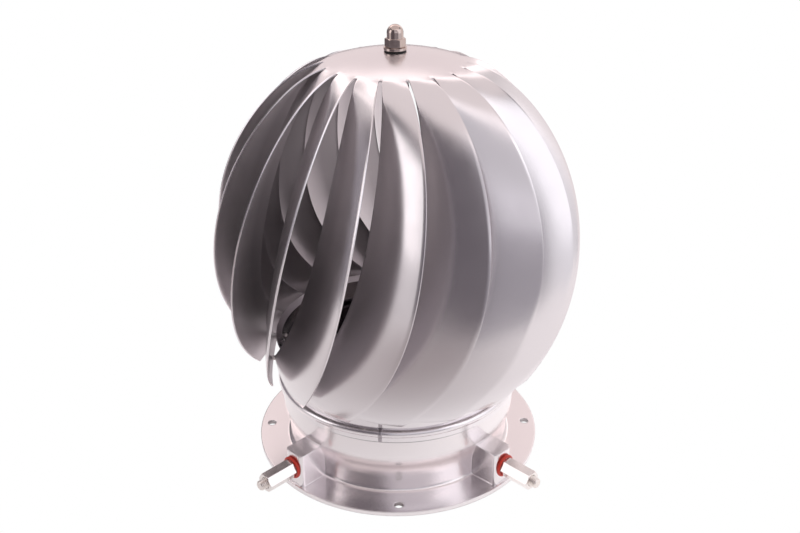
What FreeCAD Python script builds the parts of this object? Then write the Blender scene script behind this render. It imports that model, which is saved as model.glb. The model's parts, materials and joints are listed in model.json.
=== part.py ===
import FreeCAD, Part
import Sketcher
import math
import os

# Rotating chimney cowl: a globe of curved vanes, pressed from one sheet, turns on a flanged base.
# Millimetres, +Z up, origin in the middle of the flange's underside, front towards -Y.

V = FreeCAD.Vector
AXIS = V(0, 0, 1)

SIZES = [
    # Base casting
    ("flange_radius", 115.0),
    ("flange_thick", 3.5),
    ("flange_hole_radius", 3.5),
    ("flange_hole_edge", 8.5),
    ("flange_hole_count", 4),
    ("collar_radius", 90.0),
    ("collar_wall", 4.0),
    ("collar_fillet", 2.5),
    ("flare_start", 17.0),
    ("flare_step", 4.0),
    ("flare_rise", 21.0),
    ("shoulder_rise", 17.0),
    ("spigot_inset", 1.0),
    ("spigot_rise", 19.0),
    ("boss_count", 4),
    ("boss_azimuth", 45.0),
    ("boss_width", 18.0),
    ("boss_height", 32.0),
    ("boss_inset", 1.5),
    ("boss_corner", 3.5),
    # Studs, long nuts and seals on the bosses
    ("stud_height", 19.5),
    ("stud_radius", 4.0),
    ("stud_play", 0.25),
    ("thread_play", 0.05),
    ("stud_end", 5.0),
    ("stud_chamfer", 0.8),
    ("nut_flats", 13.0),
    ("nut_chamfer", 0.9),
    ("long_nut_length", 25.0),
    ("stud_seal_circle", 7.6),
    ("stud_seal_section", 1.3),
    ("nut_countersink", 0.9),
    # Bearing hub and ball bearings
    ("hub_radius", 28.0),
    ("hub_half_height", 11.0),
    ("hub_tube_radius", 17.5),
    ("hub_tube_rise", 118.0),
    ("hub_shoulder", 1.5),
    ("bearing_bore", 6.0),
    ("bearing_radius", 14.0),
    ("bearing_width", 8.0),
    ("bearing_wall", 2.4),
    ("ball_radius", 2.4),
    ("ball_count", 8),
    ("race_play", 0.06),
    ("seat_play", 0.02),
    ("shield_thick", 0.5),
    ("shield_gap", 0.35),
    # Spindle and its clip
    ("spindle_collar", 8.5),
    ("spindle_collar_rise", 6.0),
    ("spindle_foot", 3.5),
    ("clip_thick", 1.2),
    ("clip_radius", 8.6),
    ("clip_groove", 0.6),
    # Rotor ring
    ("ring_sheet", 1.0),
    ("lip_gap", 1.2),
    ("lip_overlap", 2.0),
    ("lip_height", 3.6),
    ("bead_height", 5.8),
    ("bead_fullness_ratio", 1.06),
    ("band_gap", 3.5),
    ("band_height", 30.6),
    ("rim_flare", 3.5),
    # Rotor shell: crown and vanes in one sheet
    ("shell_sheet", 1.2),
    ("globe_radius", 138.6),
    ("globe_half_height", 151.8),
    ("crown_angle", 21.4),
    ("tip_reach", 12.7),
    ("tip_drop", 19.2),
    ("crown_rise", 8.0),
    ("vane_count", 18),
    ("vane_azimuth", -12.53),
    ("slit_width", 2.4),
    ("sweep_quarter_angle", 2.46),
    ("sweep_half_angle", -0.44),
    ("sweep_three_quarter_angle", -7.73),
    ("sweep_tip_angle", -25.98),
    ("vane_wrap_angle", 20.65),
    ("vane_belly", 30.5),
    ("vane_lift", 5.0),
    ("vane_dip", 3.25),
    ("vane_shoulder", 3.5),
    ("vane_shoulder_ratio", 0.14),
    ("vane_hook_power", 2.2),
    ("vane_root_ratio", 0.04),
    ("vane_gap", 1.5),
    # Stand-off rivets between vane and ring
    ("rivet_radius", 1.2),
    ("rivet_play", 0.3),
    ("rivet_collar", 1.8),
    ("rivet_head_radius", 2.7),
    ("rivet_head_height", 1.4),
    ("rivet_stand", 0.3),
    ("rivet_along_ratio", 0.983),
    ("rivet_across_ratio", 0.42),
    # Stack on top of the crown
    ("thread_radius", 4.0),
    ("crown_play", 0.25),
    ("backing_radius", 12.0),
    ("backing_thick", 2.0),
    ("top_seal_radius", 7.8),
    ("top_seal_thick", 1.0),
    ("top_washer_radius", 8.3),
    ("top_washer_thick", 1.6),
    ("dome_nut_hex", 6.3),
    ("dome_nut_height", 15.8),
    ("dome_radius", 5.9),
    ("dome_nut_depth", 12.0),
    ("dome_nut_angle", 26.0),
    ("thread_end", 2.0),
]

doc = FreeCAD.newDocument("RotatingCowl")
sheet = doc.addObject("Spreadsheet::Sheet", "Sizes")
for row, (alias, number) in enumerate(SIZES, start=1):
    sheet.set(f"A{row}", alias)
    sheet.set(f"B{row}", str(number))
    sheet.setAlias(f"B{row}", alias)
doc.recompute()

NODES = []


def size(alias):
    """A driving size from the sheet."""
    return float(sheet.get(alias))


def value_of(expression):
    """The number that an expression on the sheet gives."""
    return float(sheet.evalExpression(expression))


def node(part, label):
    """Names a finished sub-part and puts it on the list of pieces."""
    part.Label = label
    NODES.append(part)
    return part


# Heights and radii that several pieces share
BORE = "(Sizes.collar_radius - Sizes.collar_wall)"
SHOULDER = "(Sizes.collar_radius + Sizes.flare_step)"
FLARE_END = "(Sizes.flare_start + Sizes.flare_rise)"
SHOULDER_TOP = f"({FLARE_END} + Sizes.shoulder_rise)"
SPIGOT = "(Sizes.collar_radius - Sizes.spigot_inset)"
SPIGOT_TOP = f"({SHOULDER_TOP} + Sizes.spigot_rise)"
BOSS_FACE = "(Sizes.flange_radius - Sizes.boss_inset)"
SEAL_FACE = f"({BOSS_FACE} + 2 * (Sizes.stud_seal_section + Sizes.seat_play))"
LONG_NUT_END = f"({SEAL_FACE} + Sizes.long_nut_length)"
STUD_TIP = f"({LONG_NUT_END} + Sizes.stud_end)"
HUB_BOTTOM = "(Sizes.stud_height - Sizes.hub_half_height)"
HUB_TOP = "(Sizes.stud_height + Sizes.hub_half_height)"
TUBE_TOP = f"({HUB_TOP} + Sizes.hub_tube_rise)"
SEAT = "(Sizes.bearing_radius + Sizes.seat_play)"
BALL_CIRCLE = "((Sizes.bearing_bore + Sizes.bearing_radius) / 2)"
SPINDLE = "(Sizes.bearing_bore - Sizes.seat_play)"
LIP_INNER = f"({SHOULDER} + Sizes.lip_gap)"
LIP_OUTER = f"({LIP_INNER} + Sizes.ring_sheet)"
LIP_BOTTOM = f"({SHOULDER_TOP} - Sizes.lip_overlap)"
BEAD_BOTTOM = f"({LIP_BOTTOM} + Sizes.lip_height)"
BAND_BOTTOM = f"({BEAD_BOTTOM} + Sizes.bead_height)"
BAND_TOP = f"({BAND_BOTTOM} + Sizes.band_height)"
BAND_INNER = f"({SPIGOT} + Sizes.band_gap)"
BAND_OUTER = f"({BAND_INNER} + Sizes.ring_sheet)"
RIM_RADIUS = f"({BAND_OUTER} + Sizes.rim_flare)"
RIM_TOP = f"({BAND_TOP} + Sizes.rim_flare + Sizes.ring_sheet * sqrt(0.5))"


# Sketch helpers
def origin_plane(body, role):
    return next(plane for plane in body.Origin.OriginFeatures if plane.Role == role)


def new_sketch(body, name, role):
    sketch = body.newObject("Sketcher::SketchObject", name)
    sketch.AttachmentSupport = [(origin_plane(body, role), "")]
    sketch.MapMode = "FlatFace"
    return sketch


def arc_between(start, end, radius, side):
    """The short arc from start to end, with its centre left (1) or right (-1) of the way."""
    chord = end - start
    left = V(-chord.y, chord.x, 0).normalize()
    height = math.sqrt(radius ** 2 - (chord.Length / 2) ** 2)
    centre = (start + end) * 0.5 + left * (height * side)
    first, last = (start, end) if side > 0 else (end, start)
    from_angle = math.atan2(first.y - centre.y, first.x - centre.x)
    to_angle = math.atan2(last.y - centre.y, last.x - centre.x)
    return Part.ArcOfCircle(Part.Circle(centre, AXIS, radius), from_angle, to_angle)


def bind_coordinate(sketch, kind, geometry, end, expression):
    """Ties one coordinate of a corner to an expression on the sheet."""
    number = value_of(expression)
    if abs(number) < 1e-9:
        own_axis = -2 if kind == "DistanceX" else -1
        sketch.addConstraint(Sketcher.Constraint("PointOnObject", geometry, end, own_axis))
        return
    if number > 0:
        rule = Sketcher.Constraint(kind, -1, 1, geometry, end, number)
    else:
        rule = Sketcher.Constraint(kind, geometry, end, -1, 1, -number)
        expression = f"-({expression})"
    index = sketch.addConstraint(rule)
    sketch.setExpression(f"Constraints[{index}]", expression)


def draw_outline(sketch, corners):
    """Closed outline. A corner is (across, up), or (across, up, radius, side) before an arc."""
    places = [V(value_of(corner[0]), value_of(corner[1]), 0) for corner in corners]
    runs = []
    for index, corner in enumerate(corners):
        start = places[index]
        end = places[(index + 1) % len(corners)]
        if len(corner) == 2:
            geometry = sketch.addGeometry(Part.LineSegment(start, end), False)
            runs.append((geometry, 1, 2))
            continue
        radius, side = corner[2:]
        geometry = sketch.addGeometry(arc_between(start, end, value_of(radius), side), False)
        runs.append((geometry, 1, 2) if side > 0 else (geometry, 2, 1))
    for index, (geometry, first, last) in enumerate(runs):
        next_geometry, next_first, _ = runs[(index + 1) % len(runs)]
        sketch.addConstraint(
            Sketcher.Constraint("Coincident", geometry, last, next_geometry, next_first))
    for corner, (geometry, first, last) in zip(corners, runs):
        bind_coordinate(sketch, "DistanceX", geometry, first, corner[0])
        bind_coordinate(sketch, "DistanceY", geometry, first, corner[1])
        if len(corner) == 4:
            index = sketch.addConstraint(
                Sketcher.Constraint("Radius", geometry, value_of(corner[2])))
            sketch.setExpression(f"Constraints[{index}]", corner[2])


def draw_circle(sketch, across, up, radius):
    centre = V(value_of(across), value_of(up), 0)
    circle = sketch.addGeometry(Part.Circle(centre, AXIS, value_of(radius)), False)
    bind_coordinate(sketch, "DistanceX", circle, 3, across)
    bind_coordinate(sketch, "DistanceY", circle, 3, up)
    index = sketch.addConstraint(Sketcher.Constraint("Radius", circle, value_of(radius)))
    sketch.setExpression(f"Constraints[{index}]", radius)


# Feature helpers
def turned_body(name, corners):
    """A body turned about its own Z axis from an outline of (radius, height) corners."""
    body = doc.addObject("PartDesign::Body", name)
    sketch = new_sketch(body, f"{name}_outline", "XZ_Plane")
    draw_outline(sketch, corners)
    turn = body.newObject("PartDesign::Revolution", f"{name}_turn")
    turn.Profile = sketch
    turn.ReferenceAxis = (sketch, ["V_Axis"])
    turn.Angle = 360
    return body


def groove(body, name, corners):
    """Turns an outline of (radius, height) corners away from a body."""
    sketch = new_sketch(body, f"{name}_outline", "XZ_Plane")
    draw_outline(sketch, corners)
    cut = body.newObject("PartDesign::Groove", name)
    cut.Profile = sketch
    cut.ReferenceAxis = (sketch, ["V_Axis"])
    cut.Angle = 360
    return cut


def polar_pattern(body, name, feature, axis, occurrences, angle):
    pattern = body.newObject("PartDesign::PolarPattern", name)
    pattern.Originals = [feature]
    pattern.Axis = axis
    pattern.setExpression("Angle", angle)
    pattern.setExpression("Occurrences", occurrences)
    body.Tip = pattern


def drill_radial(body, name, radius):
    """Drills the stud holes: each drilling goes right through, so half the bosses need one."""
    sketch = new_sketch(body, f"{name}_circle", "YZ_Plane")
    sketch.AttachmentOffset = FreeCAD.Placement(V(0, 0, 0), FreeCAD.Rotation(V(0, 1, 0), 1))
    sketch.setExpression("AttachmentOffset.Rotation.Angle", "Sizes.boss_azimuth")
    draw_circle(sketch, "0", "Sizes.stud_height", radius)
    drill = body.newObject("PartDesign::Pocket", name)
    drill.Profile = sketch
    drill.Type = "ThroughAll"
    drill.Midplane = True
    half_turn = "360 / Sizes.boss_count * (Sizes.boss_count / 2 - 1)"
    polar_pattern(body, f"{name}_pattern", drill, (sketch, ["V_Axis"]), "Sizes.boss_count / 2", half_turn)


def radial_placement(azimuth):
    """Lays a piece's own Z axis along a radius, at the height of the studs, its X axis upright."""
    angle = math.radians(azimuth)
    outward = V(math.cos(angle), math.sin(angle), 0)
    turn = FreeCAD.Rotation(AXIS, outward.cross(AXIS), outward, "ZXY")
    return FreeCAD.Placement(V(0, 0, size("stud_height")), turn)


# Base casting: flange, flared collar, spigot inside the rotor ring, and bosses
def make_base_casting():
    half_step = "(Sizes.flare_step / 2)"
    half_rise = "(Sizes.flare_rise / 2)"
    flare_radius = f"(({half_rise} ^ 2 + {half_step} ^ 2) / Sizes.flare_step)"
    body = turned_body("base_casting", [
        (BORE, "0"),
        ("Sizes.flange_radius", "0"),
        ("Sizes.flange_radius", "Sizes.flange_thick"),
        ("Sizes.collar_radius + Sizes.collar_fillet", "Sizes.flange_thick",
         "Sizes.collar_fillet", -1),
        ("Sizes.collar_radius", "Sizes.flange_thick + Sizes.collar_fillet"),
        ("Sizes.collar_radius", "Sizes.flare_start", flare_radius, -1),
        (f"Sizes.collar_radius + {half_step}", f"Sizes.flare_start + {half_rise}",
         flare_radius, 1),
        (SHOULDER, FLARE_END),
        (SHOULDER, SHOULDER_TOP),
        (SPIGOT, SHOULDER_TOP),
        (SPIGOT, SPIGOT_TOP),
        (BORE, SPIGOT_TOP),
    ])
    half_width = "(Sizes.boss_width / 2)"
    root = "Sizes.collar_radius - Sizes.collar_wall / 2"
    corner_start = f"{BOSS_FACE} - Sizes.boss_corner"
    corner_side = f"({half_width} - Sizes.boss_corner)"
    sketch = new_sketch(body, "boss_outline", "XY_Plane")
    sketch.AttachmentOffset = FreeCAD.Placement(V(0, 0, 0), FreeCAD.Rotation(AXIS, 1))
    sketch.setExpression("AttachmentOffset.Rotation.Angle", "Sizes.boss_azimuth")
    draw_outline(sketch, [
        (root, f"-{half_width}"),
        (corner_start, f"-{half_width}", "Sizes.boss_corner", 1),
        (BOSS_FACE, f"-{corner_side}"),
        (BOSS_FACE, corner_side, "Sizes.boss_corner", 1),
        (corner_start, half_width),
        (root, half_width),
    ])
    boss = body.newObject("PartDesign::Pad", "boss")
    boss.Profile = sketch
    boss.setExpression("Length", "Sizes.boss_height")
    polar_pattern(body, "bosses", boss, (sketch, ["N_Axis"]), "Sizes.boss_count", "360")
    drill_radial(body, "boss_drill", "Sizes.stud_radius + Sizes.stud_play")
    sketch = new_sketch(body, "flange_hole_circle", "XY_Plane")
    hole_circle = "Sizes.flange_radius - Sizes.flange_hole_edge"
    draw_circle(sketch, hole_circle, "0", "Sizes.flange_hole_radius")
    hole = body.newObject("PartDesign::Pocket", "flange_hole")
    hole.Profile = sketch
    hole.Type = "ThroughAll"
    hole.Midplane = True
    polar_pattern(body, "flange_holes", hole, (sketch, ["N_Axis"]), "Sizes.flange_hole_count", "360")
    node(body, "base_casting")


# Bearing hub: turned from bar, held by the four studs
def make_bearing_hub():
    relief = f"({SEAT} - Sizes.hub_shoulder)"
    body = turned_body("bearing_hub", [
        (SEAT, HUB_BOTTOM),
        ("Sizes.hub_radius", HUB_BOTTOM),
        ("Sizes.hub_radius", HUB_TOP),
        ("Sizes.hub_tube_radius", HUB_TOP),
        ("Sizes.hub_tube_radius", TUBE_TOP),
        (SEAT, TUBE_TOP),
        (SEAT, f"{TUBE_TOP} - Sizes.bearing_width"),
        (relief, f"{TUBE_TOP} - Sizes.bearing_width"),
        (relief, f"{HUB_BOTTOM} + Sizes.bearing_width"),
        (SEAT, f"{HUB_BOTTOM} + Sizes.bearing_width"),
    ])
    drill_radial(body, "hub_drill", "Sizes.stud_radius + Sizes.thread_play")
    node(body, "bearing_hub")


# Studs, long nuts and red seals, one set on each boss
def hexagon(across_flats):
    half = f"({across_flats} / 2)"
    edge = f"({across_flats} / (2 * sqrt(3)))"
    return [
        (half, f"-{edge}"),
        (half, edge),
        ("0", f"2 * {edge}"),
        (f"-{half}", edge),
        (f"-{half}", f"-{edge}"),
        ("0", f"-2 * {edge}"),
    ]


def hexagon_body(name, start, length):
    """A hexagon bar that starts at a height on its own Z axis."""
    body = doc.addObject("PartDesign::Body", name)
    sketch = new_sketch(body, f"{name}_hexagon", "XY_Plane")
    sketch.setExpression("AttachmentOffset.Base.z", start)
    draw_outline(sketch, hexagon("Sizes.nut_flats"))
    bar = body.newObject("PartDesign::Pad", f"{name}_bar")
    bar.Profile = sketch
    bar.setExpression("Length", length)
    return body


def chamfer_hexagon(body, name, height, inward):
    """Turns the six corners down at one end, towards inward (1 up, -1 down)."""
    flats = "(Sizes.nut_flats / 2)"
    corners = "(Sizes.nut_flats / sqrt(3) + Sizes.nut_chamfer)"
    depth = f"(({corners} - {flats}) * tan(30))"
    outline = [
        (flats, height),
        (corners, height),
        (corners, f"{height} + {depth}" if inward > 0 else f"{height} - {depth}"),
    ]
    groove(body, name, outline if inward > 0 else outline[::-1])


def ring_seal(name):
    """A ring of round section between boss and nut."""
    body = doc.addObject("PartDesign::Body", name)
    sketch = new_sketch(body, f"{name}_section", "XZ_Plane")
    middle = f"({BOSS_FACE} + Sizes.stud_seal_section + Sizes.seat_play)"
    draw_circle(sketch, "Sizes.stud_seal_circle", middle, "Sizes.stud_seal_section")
    turn = body.newObject("PartDesign::Revolution", f"{name}_turn")
    turn.Profile = sketch
    turn.ReferenceAxis = (sketch, ["V_Axis"])
    turn.Angle = 360
    return body


def make_stud_set(number, azimuth):
    foot = f"({SEAT} + Sizes.hub_shoulder)"
    chamfered = "(Sizes.stud_radius - Sizes.stud_chamfer)"
    stud = turned_body(f"stud_{number}", [
        ("0", foot),
        ("Sizes.stud_radius", foot),
        ("Sizes.stud_radius", f"{STUD_TIP} - Sizes.stud_chamfer"),
        (chamfered, STUD_TIP),
        ("0", STUD_TIP),
    ])
    nut = hexagon_body(f"long_nut_{number}", SEAL_FACE, "Sizes.long_nut_length")
    chamfer_hexagon(nut, f"long_nut_{number}_outer_chamfer", LONG_NUT_END, -1)
    chamfer_hexagon(nut, f"long_nut_{number}_inner_chamfer", SEAL_FACE, 1)
    thread = "(Sizes.stud_radius + Sizes.thread_play)"
    countersunk = f"({thread} + Sizes.nut_countersink)"
    groove(nut, f"long_nut_{number}_thread", [
        ("0", SEAL_FACE),
        (countersunk, SEAL_FACE),
        (thread, f"{SEAL_FACE} + Sizes.nut_countersink"),
        (thread, f"{LONG_NUT_END} - Sizes.nut_countersink"),
        (countersunk, LONG_NUT_END),
        ("0", LONG_NUT_END),
    ])
    seal = ring_seal(f"stud_seal_{number}")
    for part, label in ((stud, "stud"), (nut, "long_nut"), (seal, "stud_seal")):
        part.Placement = radial_placement(azimuth)
        part.setExpression("Placement.Base.z", "Sizes.stud_height")
        node(part, f"{label}_{number}")


# Ball bearings: outer ring in the hub, inner ring on the spindle, balls and shields between
def race_outline(straight, shoulder, bottom, outer):
    """Half of a bearing ring, with a groove for the balls in its shoulder."""
    middle = f"({bottom} + Sizes.bearing_width / 2)"
    race = "(Sizes.ball_radius + Sizes.race_play)"
    depth = f"abs({shoulder} - {BALL_CIRCLE})"
    half = f"sqrt({race} ^ 2 - ({depth}) ^ 2)"
    top = f"({bottom} + Sizes.bearing_width)"
    if outer:
        return [
            (straight, bottom),
            (straight, top),
            (shoulder, top),
            (shoulder, f"{middle} + {half}", race, -1),
            (shoulder, f"{middle} - {half}"),
            (shoulder, bottom),
        ]
    return [
        (straight, top),
        (straight, bottom),
        (shoulder, bottom),
        (shoulder, f"{middle} - {half}", race, -1),
        (shoulder, f"{middle} + {half}"),
        (shoulder, top),
    ]


def make_bearing(place, bottom):
    outer_shoulder = "(Sizes.bearing_radius - Sizes.bearing_wall)"
    inner_shoulder = "(Sizes.bearing_bore + Sizes.bearing_wall)"
    name = f"{place}_bearing"
    node(turned_body(f"{name}_outer_ring", race_outline(
        "Sizes.bearing_radius", outer_shoulder, bottom, True)), f"{name}_outer_ring")
    node(turned_body(f"{name}_inner_ring", race_outline(
        "Sizes.bearing_bore", inner_shoulder, bottom, False)), f"{name}_inner_ring")
    balls = []
    for index in range(round(size("ball_count"))):
        turn = 2 * math.pi * index / size("ball_count")
        ball = doc.addObject("Part::Sphere", f"{name}_ball_{index + 1}")
        ball.setExpression("Radius", "Sizes.ball_radius")
        ball.setExpression("Placement.Base.x", f"{BALL_CIRCLE} * {math.cos(turn):.9f}")
        ball.setExpression("Placement.Base.y", f"{BALL_CIRCLE} * {math.sin(turn):.9f}")
        ball.setExpression("Placement.Base.z", f"{bottom} + Sizes.bearing_width / 2")
        balls.append(ball)
    group = doc.addObject("Part::Compound", f"{name}_balls")
    group.Links = balls
    node(group, f"{name}_balls")
    low = bottom
    high = f"{bottom} + Sizes.bearing_width - Sizes.shield_thick"
    shields = []
    for side, start in (("low", low), ("high", high)):
        shields.append(turned_body(f"{name}_{side}_shield", [
            (f"{inner_shoulder} + Sizes.shield_gap", start),
            (outer_shoulder, start),
            (outer_shoulder, f"{start} + Sizes.shield_thick"),
            (f"{inner_shoulder} + Sizes.shield_gap", f"{start} + Sizes.shield_thick"),
        ]))
    group = doc.addObject("Part::Compound", f"{name}_shields")
    group.Links = shields
    node(group, f"{name}_shields")


# Rotor ring: sheet band with a lip, a bead and a flared rim
def ring_body():
    corner = "(Sizes.ring_sheet * (sqrt(2) - 1))"
    edge = "(Sizes.ring_sheet * sqrt(0.5))"
    across = f"({LIP_OUTER} - {BAND_OUTER})"
    outer_chord = f"sqrt({across} ^ 2 + Sizes.bead_height ^ 2)"
    inner_chord = f"sqrt({across} ^ 2 + (Sizes.bead_height - Sizes.ring_sheet) ^ 2)"
    outer_bead = f"{outer_chord} / 2 * Sizes.bead_fullness_ratio"
    inner_bead = f"{inner_chord} / 2 * Sizes.bead_fullness_ratio"
    return turned_body("ring_band", [
        (LIP_INNER, LIP_BOTTOM),
        (LIP_OUTER, LIP_BOTTOM),
        (LIP_OUTER, BEAD_BOTTOM, outer_bead, 1),
        (BAND_OUTER, BAND_BOTTOM),
        (BAND_OUTER, BAND_TOP),
        (RIM_RADIUS, f"{BAND_TOP} + Sizes.rim_flare"),
        (f"{RIM_RADIUS} - {edge}", RIM_TOP),
        (BAND_INNER, f"{BAND_TOP} + {corner}"),
        (BAND_INNER, f"{BAND_BOTTOM} - Sizes.ring_sheet / 2", inner_bead, -1),
        (LIP_INNER, f"{BEAD_BOTTOM} + Sizes.ring_sheet / 2"),
    ])


# Rotor shell: the sheet's middle surface is worked out, then offset by half the sheet to each side
class VaneShape:
    """One vane and its share of the crown. Azimuths are from the front, towards +X."""

    def __init__(self):
        self.count = round(size("vane_count"))
        self.pitch = 360 / self.count
        self.radius = size("globe_radius")
        self.crown_angle = size("crown_angle")
        ring_corner = value_of(RIM_RADIUS) + size("vane_gap")
        tip_radius = ring_corner + size("tip_reach")
        self.tip_angle = 180 - math.degrees(math.asin(tip_radius / self.radius))
        self.tip_inset = size("tip_reach")
        self.half_height = size("globe_half_height")
        tip_height = value_of(RIM_TOP) - size("tip_drop")
        self.centre = tip_height - self.half_height * math.cos(math.radians(self.tip_angle))
        self.rim_radius, self.rim_height = self.globe(self.crown_angle)
        self.slit = math.degrees(size("slit_width") / self.rim_radius)
        self.start = size("vane_azimuth")
        self.hole = size("thread_radius") + size("crown_play")

    def globe(self, angle):
        """Radius and height of the globe at an angle from its top."""
        turn = math.radians(angle)
        return self.radius * math.sin(turn), self.centre + self.half_height * math.cos(turn)

    def sweep(self, along):
        """Azimuth of the outer edge: a quartic through its five quarter points."""
        stations = [0, 0.25, 0.5, 0.75, 1]
        names = ["sweep_quarter_angle", "sweep_half_angle", "sweep_three_quarter_angle", "sweep_tip_angle"]
        azimuths = [0] + [size(name) for name in names]
        total = self.start
        for station, azimuth in zip(stations, azimuths):
            weight = 1
            for other in stations:
                if other != station:
                    weight *= (along - other) / (station - other)
            total += azimuth * weight
        return total

    def vane(self, along, across):
        """Along runs from the crown (0) to the tip (1), across from inner (0) to outer edge (1)."""
        angle = self.crown_angle + (self.tip_angle - self.crown_angle) * along
        outer_radius, outer_height = self.globe(angle)
        belly = 4 * size("vane_belly") * along * (1 - along)
        inset = (self.tip_inset * along + belly) * along / (along + size("vane_root_ratio"))
        late = along ** 4
        hook = 1 + (size("vane_hook_power") - 1) * late
        lag = self.pitch - self.slit + size("vane_wrap_angle") * late
        radius = outer_radius - inset * (1 - across ** hook)
        near = along / size("vane_shoulder_ratio")
        shoulder = size("vane_shoulder") * near * math.exp(1 - near) * across ** 1.5
        dip = 4 * size("vane_dip") * across * (1 - across)
        edge = size("vane_lift") * (1 - across) ** 2 - dip
        height = outer_height + shoulder + edge * late
        return self.point(radius, self.sweep(along) - lag * (1 - across), height)

    def vane_normal(self, along, across):
        if along == 0:
            return self.crown_normal(self.rim_radius, self.vane_azimuth(across))
        step = 1e-4
        low, high = max(along - step, 0), min(along + step, 1)
        left, right = max(across - step, 0), min(across + step, 1)
        down = self.vane(high, across) - self.vane(low, across)
        over = self.vane(along, right) - self.vane(along, left)
        return down.cross(over).normalize()

    def vane_azimuth(self, across):
        """Azimuth across a vane where it leaves the crown."""
        return self.start - (self.pitch - self.slit) * (1 - across)

    def crown_height(self, radius):
        return self.rim_height + size("crown_rise") * (1 - (radius / self.rim_radius) ** 2)

    def crown(self, radius, azimuth):
        return self.point(radius, azimuth, self.crown_height(radius))

    def crown_normal(self, radius, azimuth):
        slope = 2 * size("crown_rise") * radius / self.rim_radius ** 2
        return self.point(slope, azimuth, 1).normalize()

    @staticmethod
    def point(radius, azimuth, height):
        angle = math.radians(azimuth)
        return V(radius * math.sin(angle), -radius * math.cos(angle), height)


def even(count):
    return [index / (count - 1) for index in range(count)]


def spline(points, stations):
    curve = Part.BSplineCurve()
    curve.interpolate(Points=points, Parameters=stations)
    return curve


def spline_surface(grid, down, over):
    """A surface through a grid of points; surfaces that share a row of points share its curve."""
    rows = [spline(row, over) for row in grid]
    columns = []
    for pole in range(1, rows[0].NbPoles + 1):
        columns.append(spline([row.getPole(pole) for row in rows], down))
    poles = []
    for pole in range(1, columns[0].NbPoles + 1):
        poles.append([column.getPole(pole) for column in columns])
    surface = Part.BSplineSurface()
    surface.buildFromPolesMultsKnots(
        poles,
        columns[0].getMultiplicities(), rows[0].getMultiplicities(),
        columns[0].getKnots(), rows[0].getKnots(),
        False, False, columns[0].Degree, rows[0].Degree)
    return surface


def sheet_faces(points, normals, down, over):
    """Outer and inner surface of a piece of sheet, half its thickness to each side."""
    surfaces = []
    for offset in (size("shell_sheet") / 2, -size("shell_sheet") / 2):
        grid = []
        for point_row, normal_row in zip(points, normals):
            grid.append([point + normal * offset for point, normal in zip(point_row, normal_row)])
        surfaces.append(spline_surface(grid, down, over))
    return surfaces


def edge_face(surfaces, direction, end):
    """The narrow face that closes the sheet along one edge of its two surfaces."""
    curves = []
    for surface in surfaces:
        first_down, last_down, first_over, last_over = surface.bounds()
        if direction == "down":
            curves.append(surface.uIso(last_down if end else first_down).toShape())
        else:
            curves.append(surface.vIso(last_over if end else first_over).toShape())
    return Part.makeRuledSurface(*curves)


def shell_sector(shape):
    """Faces of one vane with the crown above it and the strip of crown above the slit."""
    vane_rows = [station ** 1.5 for station in even(13)]
    across = even(6)
    slit_across = even(3)
    crown_rows = even(4)
    radii = [shape.hole + (shape.rim_radius - shape.hole) * row for row in crown_rows]
    over_vane = [shape.vane_azimuth(step) for step in across]
    over_slit = [shape.start + shape.slit * step for step in slit_across]
    vane = sheet_faces(
        [[shape.vane(row, step) for step in across] for row in vane_rows],
        [[shape.vane_normal(row, step) for step in across] for row in vane_rows],
        vane_rows, across)
    crown = []
    for azimuths, steps in ((over_vane, across), (over_slit, slit_across)):
        crown.append(sheet_faces(
            [[shape.crown(radius, azimuth) for azimuth in azimuths] for radius in radii],
            [[shape.crown_normal(radius, azimuth) for azimuth in azimuths] for radius in radii],
            crown_rows, steps))
    faces = [surface.toShape() for pair in [vane] + crown for surface in pair]
    faces.append(edge_face(vane, "down", True))
    faces.append(edge_face(vane, "over", False))
    faces.append(edge_face(vane, "over", True))
    faces.append(edge_face(crown[0], "down", False))
    faces.append(edge_face(crown[1], "down", False))
    faces.append(edge_face(crown[1], "down", True))
    return faces


def shell_blank(shape):
    """All sectors sewn into one closed solid."""
    sector = shell_sector(shape)
    faces = []
    for number in range(shape.count):
        turn = FreeCAD.Placement(V(0, 0, 0), FreeCAD.Rotation(AXIS, shape.pitch * number))
        for face in sector:
            copy = face.copy()
            copy.Placement = turn
            faces.append(copy)
    skin = Part.Compound(faces)
    skin.sewShape(1e-4)
    solid = Part.Solid(skin.Shells[0])
    if solid.Volume < 0:
        solid.reverse()
    return solid


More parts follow.
